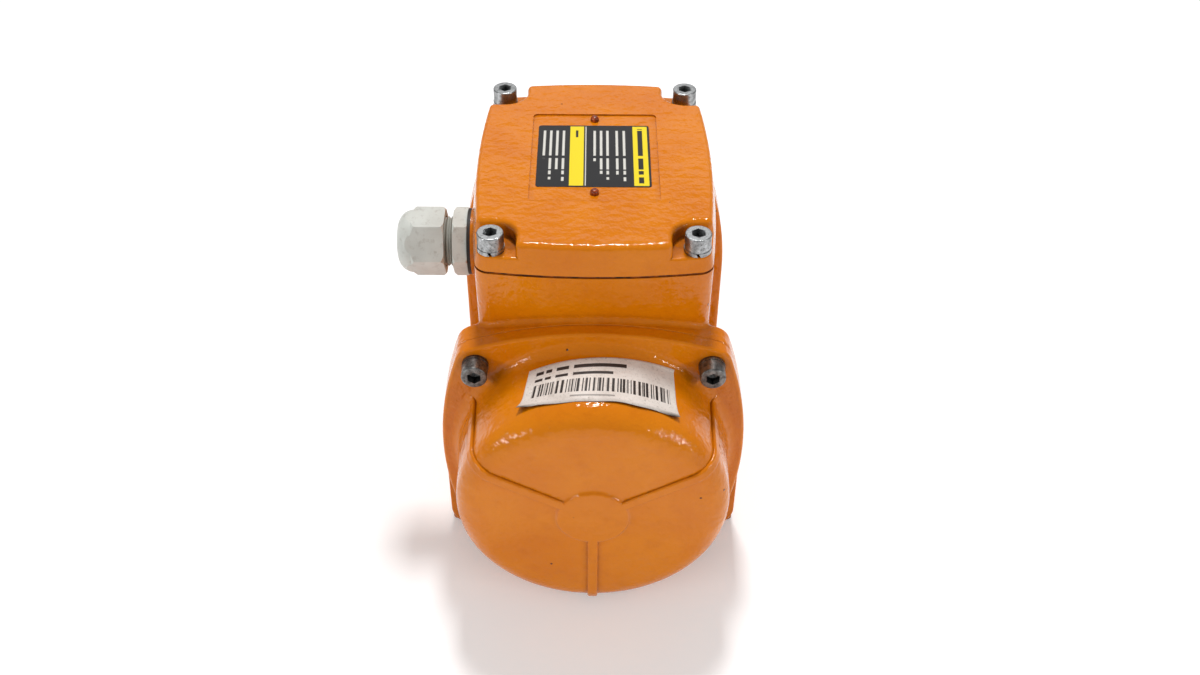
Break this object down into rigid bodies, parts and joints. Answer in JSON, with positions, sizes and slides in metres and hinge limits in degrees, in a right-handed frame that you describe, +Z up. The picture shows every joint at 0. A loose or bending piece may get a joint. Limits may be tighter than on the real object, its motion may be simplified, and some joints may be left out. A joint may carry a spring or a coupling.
{
  "type": "vibration motor",
  "caption": "Foot-mounted electric vibration motor with domed end covers, eccentric weights, a screwed terminal box and a cable gland.",
  "frame": {"origin": "centre of the four foot slots, on the mounting face", "axes": "+X along the shaft to the end with the label, +Y across the feet away from the cable gland, +Z up from the mounting face"},
  "size_m": [0.2108, 0.1394, 0.154],
  "materials": {
    "orange_enamel": "glossy cast orange enamel with a fine orange-peel texture",
    "rivet_enamel": "thin rust-coloured enamel on the drive rivets",
    "zinc_steel": "bright zinc-plated steel",
    "dark_zinc_steel": "dull zinc-plated steel",
    "ground_steel": "ground bearing steel",
    "lamination_steel": "varnished lamination stack",
    "copper_winding": "enamelled copper wire",
    "cast_aluminium": "die-cast aluminium",
    "weight_steel": "plain steel plate",
    "black_rubber": "matt black nitrile rubber",
    "grey_polyamide": "light grey moulded polyamide",
    "white_polyamide": "natural polyamide",
    "black_moulding": "dark moulded thermoset",
    "brass": "plain brass"
  },
  "bodies": {
    "frame_body": {"housing": "orange_enamel", "stator_core": "lamination_steel", "stator_windings": "copper_winding", "box_lid": "orange_enamel", "lid_gasket": "black_rubber", "lid_screws": "zinc_steel", "lid_washers": "zinc_steel", "lid_rivets": "rivet_enamel", "terminal_block": "black_moulding", "terminal_studs": "brass", "terminal_links": "brass", "terminal_nuts": "brass", "block_screws": "zinc_steel", "earth_screw": "zinc_steel", "lead_grommet": "black_rubber", "gland_body": "grey_polyamide", "gland_gasket": "black_rubber", "front_bearing_shield": "cast_aluminium", "rear_bearing_shield": "cast_aluminium", "front_shield_screws": "zinc_steel", "rear_shield_screws": "zinc_steel", "front_bearing_outer": "ground_steel", "rear_bearing_outer": "ground_steel", "front_cover": "orange_enamel", "rear_cover": "orange_enamel", "front_cover_seal": "black_rubber", "rear_cover_seal": "black_rubber", "front_cover_screws": "dark_zinc_steel", "rear_cover_screws": "dark_zinc_steel", "front_cover_washers": "dark_zinc_steel", "rear_cover_washers": "dark_zinc_steel"},
    "rotor": {"rotor_core": "lamination_steel", "rotor_cage": "cast_aluminium", "rotor_shaft": "ground_steel", "front_bearing_inner": "ground_steel", "rear_bearing_inner": "ground_steel", "front_shaft_spacer": "ground_steel", "rear_shaft_spacer": "ground_steel", "front_fixed_weight": "weight_steel", "rear_fixed_weight": "weight_steel", "front_weight_key": "ground_steel", "rear_weight_key": "ground_steel", "front_weight_washer": "zinc_steel", "rear_weight_washer": "zinc_steel", "front_shaft_nut": "zinc_steel", "rear_shaft_nut": "zinc_steel"},
    "front_balls": {"front_ball_set": "ground_steel"},
    "rear_balls": {"rear_ball_set": "ground_steel"},
    "front_adjuster": {"front_adjustable_weight": "weight_steel", "front_clamp_screw": "zinc_steel"},
    "rear_adjuster": {"rear_adjustable_weight": "weight_steel", "rear_clamp_screw": "zinc_steel"},
    "gland_clamping_set": {"gland_seal": "black_rubber", "gland_claw": "white_polyamide"},
    "gland_cap": {"gland_nut": "grey_polyamide"}
  },
  "joints": [
    {"name": "rotor_spin", "type": "hinge", "parent": "frame_body", "child": "rotor", "pos_m": [0, 0, 0.056], "axis": [1, 0, 0], "continuous": true},
    {"name": "front_ball_spin", "type": "hinge", "parent": "frame_body", "child": "front_balls", "pos_m": [0.0505, 0, 0.056], "axis": [1, 0, 0], "continuous": true},
    {"name": "rear_ball_spin", "type": "hinge", "parent": "frame_body", "child": "rear_balls", "pos_m": [-0.0505, 0, 0.056], "axis": [1, 0, 0], "continuous": true},
    {"name": "front_weight_adjust", "type": "hinge", "parent": "rotor", "child": "front_adjuster", "pos_m": [0.0811, 0, 0.056], "axis": [1, 0, 0], "range_deg": [-180, 180]},
    {"name": "rear_weight_adjust", "type": "hinge", "parent": "rotor", "child": "rear_adjuster", "pos_m": [-0.0811, 0, 0.056], "axis": [1, 0, 0], "range_deg": [-180, 180]},
    {"name": "gland_squeeze", "type": "slide", "parent": "frame_body", "child": "gland_clamping_set", "axis": [0, 1, 0], "range_m": [0, 0.003]},
    {"name": "gland_nut_turn", "type": "hinge", "parent": "gland_clamping_set", "child": "gland_cap", "pos_m": [0.0195, -0.0685, 0.1255], "axis": [0, 1, 0], "range_deg": [0, 720.5]}
  ],
  "couplings": [
    {"joint": "front_ball_spin", "follows": "rotor_spin", "ratio": 0.3614},
    {"joint": "rear_ball_spin", "follows": "rotor_spin", "ratio": 0.3614},
    {"joint": "gland_nut_turn", "follows": "gland_squeeze", "rad_per_m": 4188.8}
  ]
}
